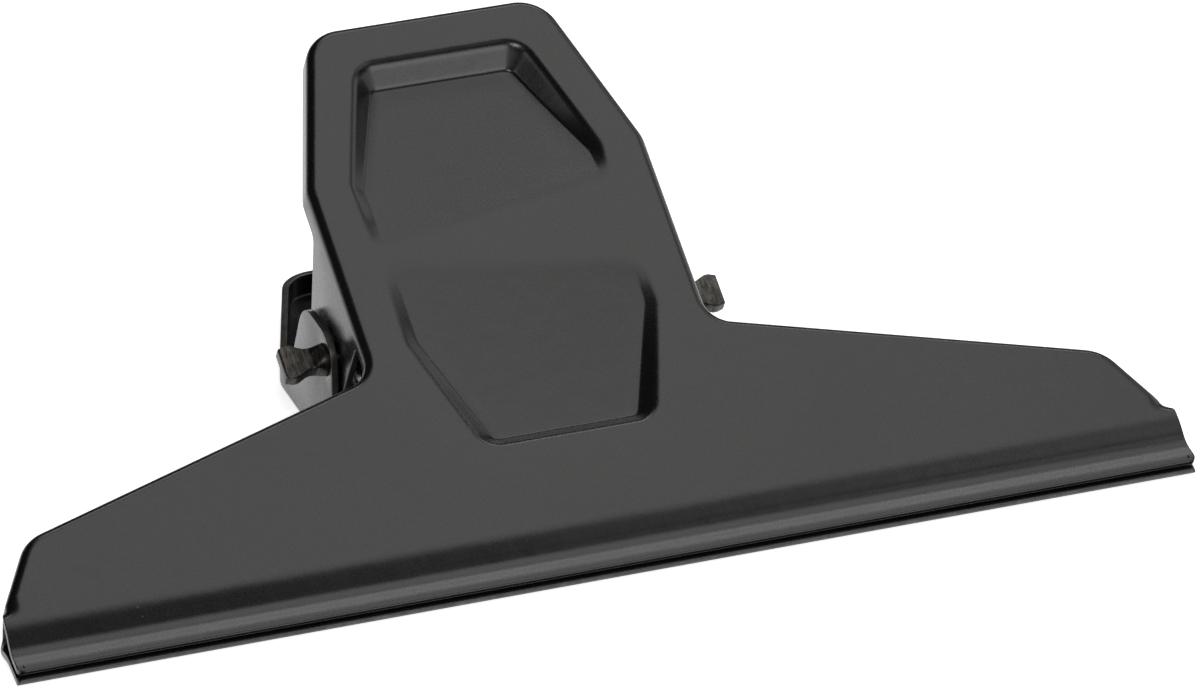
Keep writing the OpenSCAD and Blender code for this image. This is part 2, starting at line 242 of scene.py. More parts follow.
def whole_outline(neck):
    """Corners up the plate's right side and down its left, as x, y and radius."""
    side = [(FOOT_W / 2, FOOT_H, 0), (SHOULDER_W / 2, SHOULDER_H, SHOULDER_R),
            (neck / 2, NECK_H, NECK_R), (neck / 2, KINK_H, KINK_R),
            (TOP_W / 2, PLATE_LEN, TOP_R)]
    return side + [(-x, y, r) for x, y, r in reversed(side)]


# Heights of the points beside an ear, and the runs of the outline that carry one
PANEL_LEVELS = [PANEL_LOW, 30.2, 31.2, 33, 36, 39, 42, 45, 46.6, PANEL_HIGH]
EAR_RUNS = {3: PANEL_LEVELS, 7: PANEL_LEVELS[::-1]}
# Along the rim: degrees in a step, fewest steps of a corner, millimetres in a step
RIM_FINE, RIM_FEWEST, RIM_STEP = 5, 4, 4
RIM_LEVELS = 3


def rim_ring(neck, inset):
    """The outline drawn in by inset: the same count of points for every inset."""
    path = whole_outline(neck)
    corners = [[(rim_x(BLEND_TOP) - inset / SLANT, BLEND_TOP)]]
    for i in range(1, len(path) - 1):
        by_turn = math.ceil(abs(math.degrees(turn_at(path, i))) / RIM_FINE)
        corners.append(arc(path, i, inset, max(RIM_FEWEST, by_turn)))
    corners.append([(-rim_x(BLEND_TOP) + inset / SLANT, BLEND_TOP)])
    ring = list(corners[0])
    for i in range(1, len(corners)):
        a, b = ring[-1], corners[i][0]
        if i in EAR_RUNS:
            ring += [(a[0], y) for y in EAR_RUNS[i]]
        else:
            parts = max(1, round(math.dist(path[i - 1][:2], path[i][:2]) / RIM_STEP))
            ring += steps_to(a, b, parts)[:-1]
        ring += corners[i]
    return ring


def soft_step(x, low, high):
    """0 below low, 1 above high and eased in between."""
    t = min(1.0, max(0.0, (x - low) / (high - low)))
    return t * t * (3 - 2 * t)


def rim_end(x, y, neck):
    """How deep the rim reaches behind the face, at a point of the outline."""
    deep = min(RIM_DEPTH, (y + APEX) * math.tan(HALF) - RIM_GAP / 2 / math.cos(HALF))
    if abs(x) < neck / 2 + RELIEF_REACH and y < PANEL_LOW + SLACK:
        deep += (RELIEF_DEPTH - deep) * soft_step(y, RELIEF_FROM, RELIEF_TO)
    return deep


def rim_levels(deep):
    """Heights at which the flat side of the rim has points, from the bend down."""
    return [-RIM_R - (deep - RIM_R) * k / RIM_LEVELS for k in range(RIM_LEVELS + 1)]


ring = rim_ring(NECK_W, 0)
print("points along the rim", len(ring), "from", ring[0], "to", ring[-1])

# %% [markdown]
# The ear is one flat tongue with the side of the rim: it leaves the handle in
# a slope, is rounded at its tip and has a square lower edge. Rim side and ear
# are one flat panel with the axle hole in it, just as the blank is cut.

# %% Ears
EAR_ROOT_R, RELIEF_R = 1.2, 0.5
EAR_FINE, EAR_STEP = 7, 0.9
FRONT_EAR = dict(low=PIVOT_Y - 3.9, wide=9.5, tip=-PIVOT_Z - 4.6, top=46.1,
                 radii=(3.6, 4.8), hole=(PIVOT_Y, -PIVOT_Z))
REAR_EAR = dict(low=PIVOT[0] - 2.5, wide=9.2, tip=-PIVOT[1] - 3.2, top=PIVOT[0] + 12.9,
                radii=(3.2, 4.4), hole=(PIVOT[0], -PIVOT[1]))


def ear_border(ear, neck):
    """The panel's border as flat points (y, z), once round."""
    low, tip = ear["low"], ear["tip"]
    slope = (ear["top"] - low - ear["wide"]) / (-RIM_R - tip)
    meet = ear["top"] - slope * (RIM_DEPTH - RIM_R)
    path = [(PANEL_HIGH, -RIM_DEPTH, 0), (meet, -RIM_DEPTH, EAR_ROOT_R),
            (low + ear["wide"], tip, ear["radii"][1]), (low, tip, ear["radii"][0]),
            (low, -RELIEF_DEPTH, RELIEF_R), (PANEL_LOW, -RELIEF_DEPTH, 0)]
    lower = spaced(rounded(path, fine=EAR_FINE), EAR_STEP)
    left = [(PANEL_LOW, z) for z in reversed(rim_levels(rim_end(neck / 2, PANEL_LOW, neck)))]
    right = [(PANEL_HIGH, z) for z in rim_levels(RIM_DEPTH)]
    upper = [(y, -RIM_R) for y in PANEL_LEVELS]
    return upper[:-1] + right[:-1] + lower[:-1] + left[:-1]


def axle_hole(centre, steps=40):
    """A round hole with the axle's clearance, as flat points (y, z)."""
    radius = AXLE_D / 2 + AXLE_FIT
    return [(centre[0] + radius * math.cos(2 * math.pi * k / steps),
             centre[1] + radius * math.sin(2 * math.pi * k / steps)) for k in range(steps)]


print("borders of the ears", len(ear_border(FRONT_EAR, NECK_W)), "and",
      len(ear_border(REAR_EAR, REAR_NECK_W)), "points")

# %% [markdown]
# The recess is a stamped panel with eight sides. Its walls fall in a soft S,
# and its floor is a ramp at each end, deep at the top, shallow at the foot and
# level with the face in the middle. Rings that follow its outline keep the
# walls clean where a square grid would step.

# %% The recess in the handle
RECESS = dict(top_w=18.7, w=27.9, foot_w=19.0, top_h=63.4, kink_h=48.9, low_h=29.3,
              foot_h=15.6, top_d=2.25, foot_d=1.15, fade_top=42.7, fade_low=36.9)
WALL_RUN, WALL_SIDE, WALL_FOOT, RAMP_SKEW = 2.9, 0.65, 0.66, 0.16
WALL_STEPS = 16
# Corners of the outline: their radius, what the wall's run takes off it, and the kinks
CORNER_R, CORNER_LOSS, KINK_MOVE, KINK_R_IN = 3.3, 0.78, 0.15, 3
ARC_STEPS, RUN_STEPS = (12, 5, 5, 12), (5, 14, 20, 12, 5)
RAMP_EASE, RAMP_FROM, RAMP_TO = 1.2, -0.2, 1.2
LIP_EASE, FOOT_EASE = 1.3, 0.7


def recess_line(s):
    """Right half of the recess outline, drawn in by s, from its top to its foot."""
    q, tuck, corner_r = RECESS, WALL_SIDE * s, CORNER_R - CORNER_LOSS * s
    top, foot = q["top_h"] - s, q["foot_h"] + WALL_FOOT * s
    path = [(0, top, 0), (q["top_w"] / 2 - tuck, top, corner_r),
            (q["w"] / 2 - tuck, q["kink_h"] - KINK_MOVE * s, KINK_R_IN),
            (q["w"] / 2 - tuck, q["low_h"] + KINK_MOVE * s, KINK_R_IN),
            (q["foot_w"] / 2 - tuck, foot, corner_r), (0, foot, 0)]
    arcs = [arc(path, i, 0, steps) for i, steps in enumerate(ARC_STEPS, 1)]
    starts = [path[0][:2]] + [a[-1] for a in arcs]
    ends = [a[0] for a in arcs] + [path[-1][:2]]
    line = [starts[0]]
    for k, (a, b) in enumerate(zip(starts, ends)):
        line += steps_to(a, b, RUN_STEPS[k])
        if k < len(arcs):
            line += arcs[k][1:]
    return line


def recess_ring(s):
    """The whole outline of the recess, drawn in by s."""
    half = recess_line(s)
    return half + [(-x, y) for x, y in reversed(half[1:-1])]


def ramp(x, y):
    """Depth of the recess floor: a ramp at each end, whose start runs a little askew."""
    q, depth = RECESS, 0.0
    top_start, low_start = q["fade_top"] + RAMP_SKEW * x, q["fade_low"] - RAMP_SKEW * x
    for run, reach, deep in (
            (y - top_start, q["top_h"] - WALL_RUN - top_start, q["top_d"]),
            (low_start - y, low_start - q["foot_h"] - WALL_FOOT * WALL_RUN, q["foot_d"])):
        share = min(1.0, max(0.0, run / reach))
        depth += deep * (1 - (1 - share) ** RAMP_EASE) * soft_step(run, RAMP_FROM, RAMP_TO)
    return depth


def wall_share(u, lip=0.42, foot=0.12):
    """Share of the depth at share u of the wall's run: soft lip, straight wall, tight foot."""
    def slope(t):
        if t < 1 - foot:
            return min(1.0, t / lip) ** LIP_EASE
        return max(0.0, (1 - t) / foot) ** FOOT_EASE

    steps = 64
    total = sum(slope((k + 0.5) / steps) for k in range(steps))
    return sum(slope((k + 0.5) / steps) for k in range(round(u * steps))) / total


recess_rings = []
for k in range(WALL_STEPS + 1):
    u = k / WALL_STEPS
    share = wall_share(u)
    recess_rings.append([(x, y, -ramp(x, y) * share) for x, y in recess_ring(u * WALL_RUN)])
print("recess", len(recess_rings), "rings of", len(recess_rings[0]), "points, deepest",
      round(min(p[2] for p in recess_rings[-1]), 2), "mm")

# %% [markdown]
# Below the face the sheet steps in towards the other plate and curls inward
# at the lip, where the two plates bite. One side view, carried along the jaw,
# gives it all, and the width of each row gives the jaw's ends.

# %% The jaw's side view and its ends
# Corners as y, height over the plane where the plates meet, and radius
FRONT_LIP = [(4.8, (4.8 + APEX) * math.tan(HALF), 7.0), (3.0, 0.81, 2.7), (1.0, 0.97, 4.5),
             (0.14, 0.86, 0.13), (0.85, 0.06, 0)]
REAR_LIP = [(6.0, (6.0 + APEX) * math.tan(HALF), 6), (3.9, 1.38, 4), (0.0, 1.06, LIP_R),
            (0.0, LIP_GAP / 2, 0)]
FACE_START, LIP_FINE, LIP_ARC, LIP_STEP = 9.0, 10, 0.2, 0.3
TO_FACE = 0.05
# The jaw's end: round the foot of the rim, into the notch and down to the lip
END_R, NOTCH_OUT, NOTCH_H, NOTCH_R, END_LOW, END_FINE = 1.6, 0.1, 6.95, 0.8, -1.5, 8


def jaw_profile(lip):
    """The jaw's outer line as (y, z) of the flat plate, from the face to the lip's end."""
    path = [(FACE_START, (FACE_START + APEX) * math.tan(HALF), 0)] + lip
    line = []
    for y, z in spaced(rounded(path, fine=LIP_FINE, step=LIP_ARC), LIP_STEP):
        # Turned so that the face lies at z = 0
        line.append(((y + APEX) * math.cos(HALF) + z * math.sin(HALF) - APEX,
                     -(y + APEX) * math.sin(HALF) + z * math.cos(HALF)))
    return [(BLEND_TOP, 0.0)] + [p for p in line if p[0] < BLEND_TOP - TO_FACE]


JAW_EDGE = list(reversed(rounded([
    (rim_x(BLEND_TOP), BLEND_TOP, 0), (rim_x(FOOT_H), FOOT_H, END_R),
    (JAW_W / 2 - JAW_TAPER + NOTCH_OUT, NOTCH_H, NOTCH_R), (JAW_W / 2, END_LOW, 0)],
    fine=END_FINE)))


def jaw_half_width(y):
    """How far the jaw reaches sideways at height y."""
    return float(np.interp(y, [p[1] for p in JAW_EDGE], [p[0] for p in JAW_EDGE]))


print("jaw ends", [round(jaw_half_width(y), 2) for y in (0, 3, 6, NOTCH_H, FOOT_H)])

# %% [markdown]
# Where the rim runs out on the jaw, the press lets it open: the bend grows
# flatter and the side of the rim shorter until both lie in the jaw. So the rows
# there end in a curl whose turn goes from a right angle to nothing.

# %% The rim opens into the jaw
BEND_STEPS = 9
# Shares of the way down: the bend keeps its turn to the first, the side is gone at the second
TURN_KEPT, SIDE_GONE = 0.25, 0.55
SIDE_LEFT, NO_TURN = 0.03, 1e-3


def opened_rim(y, z, side, short):
    """The end of a jaw row: its points from the face to the free edge."""
    share = (BLEND_TOP - y) / (BLEND_TOP - BLEND_LOW)
    turn = math.pi / 2 * (1 - soft_step(share, TURN_KEPT, 1))
    left = SIDE_LEFT + (1 - SIDE_LEFT) * (1 - soft_step(share, 0, SIDE_GONE))
    wide = jaw_half_width(y) - (short * soft_step(share, 0, 1) if side < 0 else 0)
    inner = rim_x(BLEND_TOP) - RIM_R / SLANT
    deep = (rim_end(rim_x(BLEND_TOP), BLEND_TOP, 0) - RIM_R) * left
    bend = RIM_R * math.pi / 2
    lengths = [bend * k / BEND_STEPS for k in range(BEND_STEPS + 1)]
    lengths += [bend + deep * k / RIM_LEVELS for k in range(1, RIM_LEVELS + 1)]
    if turn < NO_TURN:
        return [(side * (inner + (wide - inner) * s / lengths[-1]), y, z) for s in lengths]
    spots = []
    for s in lengths:
        a, rest = turn * min(1.0, s / bend), max(0.0, s - bend)
        spots.append((bend / turn * math.sin(a) + rest * math.cos(turn),
                      bend / turn * (1 - math.cos(a)) + rest * math.sin(turn)))
    grow = (wide - inner) / spots[-1][0]
    return [(side * (inner + x * grow), y, z - depth) for x, depth in spots]


def corner_cut(profile, radius):
    """How much each row of the jaw is shorter where the corner of the lip is rounded."""
    tip = min(range(len(profile)), key=lambda i: profile[i][0])
    cuts = []
    for i, (y, _) in enumerate(profile):
        d = min(radius, y - profile[tip][0]) if i < tip else 0.0
        cuts.append(radius - math.sqrt(max(0.0, radius ** 2 - (radius - d) ** 2)))
    return cuts


# %% [markdown]
# Now the patches are laid side by side. A narrow support strip inside the bend
# keeps the face truly flat when the shading is smoothed across the bend.

# %% The outer skin of one plate
SUPPORT = 0.22
FACE_COLUMNS = (0.0, 0.12, 0.25, 0.4, 0.55, 0.7, 0.82, 0.92, 0.97, 1.0)
CUT_RUN = 2


def bend_rings(neck):
    """Lines round the plate, from the side of the rim over the bend to the face."""
    rings = []
    for k in range(BEND_STEPS + 1):
        turn = math.pi / 2 * k / BEND_STEPS
        inset, z = RIM_R * (1 - math.cos(turn)), RIM_R * (math.sin(turn) - 1)
        rings.append([(x, y, z) for x, y in rim_ring(neck, inset)])
    return rings + [[(x, y, 0.0) for x, y in rim_ring(neck, RIM_R + SUPPORT)]]


def add_rim_side(skin, edge, sides):
    """The flat side of the rim, but for the stretch that the ear's panel takes."""
    for i in range(len(edge) - 1):
        a, b = edge[i], edge[i + 1]
        if abs(a[0]) == abs(b[0]) and PANEL_LOW - SLACK < min(a[1], b[1]) \
                and max(a[1], b[1]) < PANEL_HIGH + SLACK:
            continue
        for k in range(len(sides[i]) - 1):
            skin.face([(a[0], a[1], sides[i][k + 1]), (b[0], b[1], sides[i + 1][k + 1]),
                       (b[0], b[1], sides[i + 1][k]), (a[0], a[1], sides[i][k])])


def add_recess(skin):
    """The walls and the floor of the recess."""
    for low, high in zip(recess_rings, recess_rings[1:]):
        skin.strip(low, high, closed=True)
    half = recess_line(WALL_RUN)
    top_count = sum(1 for _, y in half if y > half[0][1] - TINY)
    foot_count = sum(1 for _, y in half if y < half[-1][1] + TINY)
    columns = 2 * (top_count - 1)
    across = [2 * j / columns - 1 for j in range(columns + 1)]
    floor = [[(c * x, y, -ramp(c * x, y)) for c in across]
             for x, y in half[top_count - 1:len(half) - foot_count + 1]]
    for low, high in zip(floor, floor[1:]):
        skin.strip(low, high)


def jaw_end(profile, rings, sides, side, short, corner):
    """One end of the jaw's rows: the rim that opens into it."""
    i = 0 if side > 0 else -1
    reach, edge = rings[-1][0][0], rings[0]
    first = [r[i] for r in reversed(rings[:-1])]
    first += [(edge[i][0], edge[i][1], level) for level in sides[i][1:]]
    rows = [first]
    for (y, z), cut in zip(profile[1:], corner_cut(profile, corner)[1:]):
        rows.append([(x - side * cut * min(1, (abs(x) - reach) / CUT_RUN), y, z)
                     for x, y, z in opened_rim(y, z, side, short)])
    return rows


def plate_skin(neck, lip, ear, short, corner):
    """The outer surface. short is what the left jaw end lacks, corner the lip's radius."""
    skin, rings, profile = Skin(), bend_rings(neck), jaw_profile(lip)
    for low, high in zip(rings, rings[1:]):
        skin.strip(low, high)
    sides = [rim_levels(rim_end(x, y, neck)) for x, y, _ in rings[0]]
    add_rim_side(skin, rings[0], sides)
    for side in (-1, 1):
        skin.panel(ear_border(ear, neck), [axle_hole(ear["hole"])],
                   lambda y, z, side=side: (side * neck / 2, y, z))
    add_recess(skin)
    reach = rings[-1][0][0]
    columns = [-c for c in reversed(FACE_COLUMNS)] + list(FACE_COLUMNS[1:])
    right, left = (jaw_end(profile, rings, sides, side, short, corner) for side in (1, -1))
    rows = [list(reversed(l)) + [(c * reach, y, z) for c in columns] + r
            for (y, z), r, l in zip(profile, right, left)]
    for low, high in zip(rows, rows[1:]):
        skin.strip(low, high)
    # The flat face between rim, jaw and recess
    border = [(x, y) for x, y, _ in rings[-1]]
    border += [(-c * reach, BLEND_TOP) for c in reversed(columns[1:-1])]
    skin.panel(border, [recess_ring(0)], lambda x, y: (x, y, 0.0))
    return skin


front_skin = plate_skin(NECK_W, FRONT_LIP, FRONT_EAR, short=0.3, corner=0.7)
rear_skin = plate_skin(REAR_NECK_W, REAR_LIP, REAR_EAR, short=0.32, corner=0.3)
print("skin of the front plate", len(front_skin.points), "points and",
      len(front_skin.faces), "faces")

# %% [markdown]
# Sheet has a thickness and its cut edges are never sharp. The skin is copied
# inward by that thickness, and a rolled strip closes the gap along every free
# edge. The strip is marked, so that the finish can wear there first.

# %% Sheet with rounded edges
EDGE_R, BEHIND_LIP = 0.13, 0.27
ON_FACE = Vector((0, 40, 0))
# Where the lip wears, where it is turned back and thin, and where its edge is out of sight
WORN_Y, WORN_NORMAL, WORN_END = 0.6, -0.75, 0.3
TURNED_Y, TURNED_NORMAL = 1.2, 0.2
HIDDEN_Y, HIDDEN_OUT = 1.6, 0.7
HALF_WORN = 0.6


def outer_sheet(skin):
    """The skin as an editable mesh whose faces all look outward."""
    bm = bmesh.new()
    for p in skin.points:
        bm.verts.new(p)
    bm.verts.ensure_lookup_table()
    for ring in skin.faces:
        bm.faces.new([bm.verts[v] for v in ring])
    bmesh.ops.recalc_face_normals(bm, faces=bm.faces)
    face = min(bm.faces, key=lambda f: (f.calc_center_median() - ON_FACE).length)
    if face.normal.z < 0:
        bmesh.ops.reverse_faces(bm, faces=bm.faces)
    bm.normal_update()
    bm.verts.index_update()
    return bm


def ways_out(free):
    """For each point of a free edge: the way out of the sheet, square to the edge."""
    ways = {}
    for e in free:
        face = e.link_faces[0]
        out = (e.verts[1].co - e.verts[0].co).normalized().cross(face.normal)
        if out.dot(e.verts[0].co - face.calc_center_median()) < 0:
            out.negate()
        for v in e.verts:
            ways[v.index] = ways.get(v.index, Vector()) + out
    return {i: out.normalized() for i, out in ways.items()}


def rolled_edge(spot, out, n):
    """Points round a cut edge, from the outer skin to the inner one."""
    spots = []
    for centre, angles in ((-EDGE_R, (60, 30, 0)), (EDGE_R - SHEET, (0, -30, -60))):
        for a in map(math.radians, angles):
            spots.append(spot - EDGE_R * out + centre * n
                         + EDGE_R * (math.cos(a) * out + math.sin(a) * n))
    return spots


def sheet_metal(skin, name, lip_wear):
    """A closed mesh of sheet from its outer skin, in the flat plate's millimetres."""
    bm = outer_sheet(skin)
    normal = [v.normal.copy() for v in bm.verts]
    place = [v.co.copy() for v in bm.verts]
    free = [e for e in bm.edges if len(e.link_faces) == 1]
    outward = ways_out(free)
    pulls = [EDGE_R * outward[i] if i in outward else Vector() for i in range(len(place))]
    points, marks, inner, rolled = [], [], {}, {}
    for p, n, pull in zip(place, normal, pulls):
        points.append(p - pull)
        marks.append(lip_wear * (p.y < WORN_Y and n.y < WORN_NORMAL
                                 and abs(p.x) < JAW_W / 2 - WORN_END))
    for i, (p, n, pull) in enumerate(zip(place, normal, pulls)):
        inner[i] = len(points)
        turned_back = p.y < TURNED_Y and n.z < TURNED_NORMAL
        points.append(p - n * (BEHIND_LIP if turned_back else SHEET) - pull)
        marks.append(0.0)
    for i, out in outward.items():
        spots = rolled_edge(place[i], out, normal[i])
        rolled[i] = list(range(len(points), len(points) + len(spots)))
        points += spots
        hidden = place[i].y < HIDDEN_Y and abs(out.x) < HIDDEN_OUT
        wear = [HALF_WORN] + [1.0] * (len(spots) - 2) + [HALF_WORN]
        marks += [0.0] * len(spots) if hidden else wear
    faces = [[v.index for v in f.verts] for f in bm.faces]
    faces += [[inner[v.index] for v in reversed(f.verts)] for f in bm.faces]
    for e in free:
        loop = e.link_loops[0]
        a, b = loop.vert.index, loop.link_loop_next.vert.index
        ladder_a = [a] + rolled[a] + [inner[a]]
        ladder_b = [b] + rolled[b] + [inner[b]]
        for k in range(len(ladder_a) - 1):
            faces.append([ladder_b[k], ladder_a[k], ladder_a[k + 1], ladder_b[k + 1]])
    bm.free()
    mesh = bpy.data.meshes.new(name)
    mesh.from_pydata([tuple(p) for p in points], [], faces)
    mark = mesh.attributes.new("cut_edge", "FLOAT", "POINT")
    mark.data.foreach_set("value", marks)
    mesh.shade_smooth()
    return mesh


def spots_of(mesh):
    """The places of a mesh's points, one row each."""
    spots = np.empty(len(mesh.vertices) * 3)
    mesh.vertices.foreach_get("co", spots)
    return spots.reshape(-1, 3)


def lay_down(mesh, front):
    """Moves a flat plate's mesh to its place in the lying clip, in metres."""
    x, y, z = spots_of(mesh).T
    if front:
        y, z = front_at(y, z)
    else:
        z = -z
        mesh.flip_normals()
    spots = np.stack([x, y - Y_MID, z + LIFT], 1) * MM
    mesh.vertices.foreach_set("co", spots.ravel())
    mesh.update()


def piece(name, mesh, body, *nodes, slot):
    """One finished piece of the clip: shown for its nodes, riding on its body if it has one."""
    made = bpy.data.objects.new(name, mesh)
    bpy.context.scene.collection.objects.link(made)
    if body:
        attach(made, body)
    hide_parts(*nodes)
    spots = spots_of(mesh) / MM
    print(name, "from", spots.min(0).round(2), "to", spots.max(0).round(2), "mm")
    return made


front_mesh = sheet_metal(front_skin, "front_pressing", lip_wear=0.0)
lay_down(front_mesh, front=True)
front_plate = piece("front_pressing", front_mesh, "front", "front_plate", slot="enamel")
rear_mesh = sheet_metal(rear_skin, "rear_pressing", lip_wear=0.85)
lay_down(rear_mesh, front=False)
rear_plate = piece("rear_pressing", rear_mesh, "rear", "rear_plate", slot="enamel")

# %% [markdown]
# The axle is a round rod whose ends were squeezed flat once it was through the
# ears, so each end flares like a fish tail behind a waist. It is drawn as
# sections along the rod that change from a circle to a flat oblong.

# %% The axle with its flattened ends
AXLE_OUT, FLAT_T, FLAT_W = 4.55, 1.5, 3.9
SHAFT_END, AXLE_END = REAR_NECK_W / 2 + 0.3, REAR_NECK_W / 2 + AXLE_OUT
# The squeezed stretch, then how far in the waist lies and how soft the tail's end is
ROUND_TO, SQUEEZE_FROM, SQUEEZE_RUN = SHAFT_END - 0.5, SHAFT_END - 0.2, 1.5
WAIST_IN, TAIL_SOFT, TAIL_NOSE, TAIL_CROWN, TAIL_LOSS = 0.38, 0.16, 0.22, 0.05, 0.1
SECTION, SQUEEZE_STEPS, TAIL_STEPS, NOSE_STEPS = 40, 14, 16, 5


def oblong(half_w, half_t, round_r):
    """A flat section with rounded corners, as (w, t) points once round."""
    spots = []
    for k in range(SECTION):
        quarter, step = divmod(k, SECTION // 4)
        a = math.pi / 2 * (quarter + (step + 0.5) / (SECTION // 4))
        sx = 1 if quarter in (0, 3) else -1
        sy = 1 if quarter in (0, 1) else -1
        spots.append((sx * (half_w - round_r) + round_r * math.cos(a),
                      sy * (half_t - round_r) + round_r * math.sin(a)))
    return spots


def axle_stations():
    """Along the rod: x, half width, half thickness and corner radius."""
    r, t, flare = AXLE_D / 2, FLAT_T / 2, FLAT_W / 2
    waist = r - WAIST_IN
    rows = [(0.0, r, r, r), (ROUND_TO, r, r, r), (SQUEEZE_FROM, r, r, r)]
    for k in range(1, SQUEEZE_STEPS + 1):
        u = k / SQUEEZE_STEPS
        s = soft_step(u, 0, 1)
        half_t = r + (t - r) * s
        half_w = r + (waist - r) * soft_step(u, 0, 0.75)
        rows.append((SQUEEZE_FROM + u * SQUEEZE_RUN, half_w, half_t,
                     half_t + (TAIL_SOFT - half_t) * s))
    x0, x1 = rows[-1][0], AXLE_END - TAIL_NOSE
    for k in range(1, TAIL_STEPS + 1):
        u = k / TAIL_STEPS
        half_w = waist + (flare - waist) * soft_step(u, 0.05, 0.72) \
            - TAIL_SOFT * soft_step(u, 0.8, 1)
        rows.append((x0 + (x1 - x0) * u, half_w,
                     t - TAIL_CROWN * soft_step(u, 0.6, 1), TAIL_SOFT))
    for k in range(1, NOSE_STEPS + 1):
        a = math.pi / 2 * k / NOSE_STEPS
        bow = 1 - math.cos(a)
        rows.append((x1 + TAIL_NOSE * math.sin(a), flare - TAIL_SOFT - TAIL_NOSE * bow,
                     t - TAIL_CROWN - TAIL_NOSE * bow, TAIL_SOFT - TAIL_LOSS * bow))
    return rows


def closed_mesh(name, points, faces):
    """A smooth mesh from points and faces, with every face turned outward."""
    mesh = bpy.data.meshes.new(name)
    mesh.from_pydata([tuple(p) for p in points], [], faces)
    bm = bmesh.new()
    bm.from_mesh(mesh)
    bmesh.ops.recalc_face_normals(bm, faces=bm.faces)
    bm.to_mesh(mesh)
    bm.free()
    mesh.shade_smooth()
    return mesh


def axle_mesh():
    """The whole rod in its place, from its stations and their mirror image."""
    stations = axle_stations()
    stations = [(-x, w, t, r) for x, w, t, r in reversed(stations[1:])] + stations
    points, faces = [], []
    for x, w, t, r in stations:
        for a, b in oblong(w, t, r):
            # The width lies along the front plate, the thickness across it
            y = a * math.cos(SPREAD) - b * math.sin(SPREAD)
            z = a * math.sin(SPREAD) + b * math.cos(SPREAD)
            points.append((x * MM, (PIVOT[0] + y - Y_MID) * MM, (PIVOT[1] + z + LIFT) * MM))
    n, last = SECTION, len(stations) - 1
    for i in range(last):
        for k in range(n):
            m = (k + 1) % n
            faces.append([i * n + k, (i + 1) * n + k, (i + 1) * n + m, i * n + m])
    for ring in (list(range(n)), [last * n + n - 1 - k for k in range(n)]):
        middle = len(points)
        points.append(tuple(np.mean([points[v] for v in ring], 0)))
        faces += [[middle, ring[k], ring[(k + 1) % n]] for k in range(n)]
    return closed_mesh("axle", points, faces)


axle = piece("fishtail_axle", axle_mesh(), "rear", "pivot_axle", slot="axle_steel")

# %% [markdown]
# The spring is one wire: a straight leg under the front handle, a coil round
# the axle and a leg on the rear handle, with sheared ends. When the jaws open,
# the wire winds up: its first end goes with the front plate, its last end stays
# with the rear one, and each turn between them takes its share of the way.

# %% The torsion spring
WIRE_D, COIL_R, COIL_TURNS, COIL_SIDE = 2.0, 3.3, 12, 0.8
LEG_H, LEG_GAP, LEG_STEPS = 50.2, 0.12, 12
# The wire's end: share of its radius, share of the way out
SHEARED = ((0.93, 0.6), (0.8, 1.0))


def spring_line(per_turn=40):
    """The middle of the wire from end to end, in millimetres."""
    tip = SHEET + WIRE_D / 2 + LEG_GAP
    front_tip, rear_tip = np.array(front_at(LEG_H, -tip)), np.array((LEG_H, tip))
    pivot = np.array(PIVOT)

    def bearing(q):
        """Direction of q as seen from the pivot."""
        return math.atan2(q[1] - pivot[1], q[0] - pivot[0])

    start = bearing(front_tip) + math.acos(COIL_R / np.linalg.norm(front_tip - pivot))
    stop = bearing(rear_tip) - math.acos(COIL_R / np.linalg.norm(rear_tip - pivot)) \
        + 2 * math.pi * (COIL_TURNS + 1)
    half = NECK_W / 2 - SHEET - COIL_SIDE - WIRE_D / 2
    count = round(per_turn * (stop - start) / 2 / math.pi)
    coil = []
    for k in range(count + 1):
        a = start + (stop - start) * k / count
        coil.append((-half + 2 * half * k / count, pivot[0] + COIL_R * math.cos(a),
                     pivot[1] + COIL_R * math.sin(a)))
    legs = [[(x, *tip_at), end] for x, tip_at, end in
            ((-half, front_tip, coil[0]), (half, rear_tip, coil[-1]))]
    runs = [[a] + steps_to(a, b, LEG_STEPS)[:-1] for a, b in legs]
    return np.array(runs[0] + coil + list(reversed(runs[1])))


def wire_mesh(line, round_steps=16, nose=0.25):
    """A round wire along a line, with its ends slightly rounded."""
    way = np.gradient(line, axis=0)
    way /= np.linalg.norm(way, axis=1)[:, None]
    side = np.cross(way[0], (1, 0, 0))
    points, faces = [], []
    for centre, along in zip(line, way):
        side = side - along * np.dot(side, along)
        side /= np.linalg.norm(side)
        up = np.cross(along, side)
        for k in range(round_steps):
            a = 2 * math.pi * k / round_steps
            points.append(centre + WIRE_D / 2 * (math.cos(a) * side + math.sin(a) * up))
    n, last = round_steps, len(line) - 1
    for i in range(last):
        for k in range(n):
            m = (k + 1) % n
            faces.append([i * n + k, i * n + m, (i + 1) * n + m, (i + 1) * n + k])
    for end, direction in ((0, -way[0]), (last, way[-1])):
        ring = [end * n + k for k in range(n)]
        hub, before = line[end], ring
        for v in ring:
            points[v] = hub - direction * nose + (points[v] - hub)
        for share, step in SHEARED:
            loop = []
            for v in ring:
                loop.append(len(points))
                rest = points[v] - hub + direction * nose
                points.append(hub - direction * nose * (1 - step) + rest * share)
            faces += [[before[k], before[(k + 1) % n], loop[(k + 1) % n], loop[k]]
                      for k in range(n)]
            before = loop
        faces.append(before)
    points = (np.array(points) + (0, -Y_MID, LIFT)) * MM
    return closed_mesh("spring", points, faces)


wire = spring_line()
spring = piece("wound_spring", wire_mesh(wire), None, "torsion_spring", slot="spring_steel")
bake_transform(spring)
print("wire length", round(sum(math.dist(a, b) for a, b in zip(wire, wire[1:]))), "mm")

# %% [markdown]
# Finishes are written as sums: a wire from one node can be added to, mixed or
# compared like a number, and each sign adds its Math node. That keeps a finish
# readable as what it is, for example ripple plus grain times a little.

# %% A wire that can be reckoned with


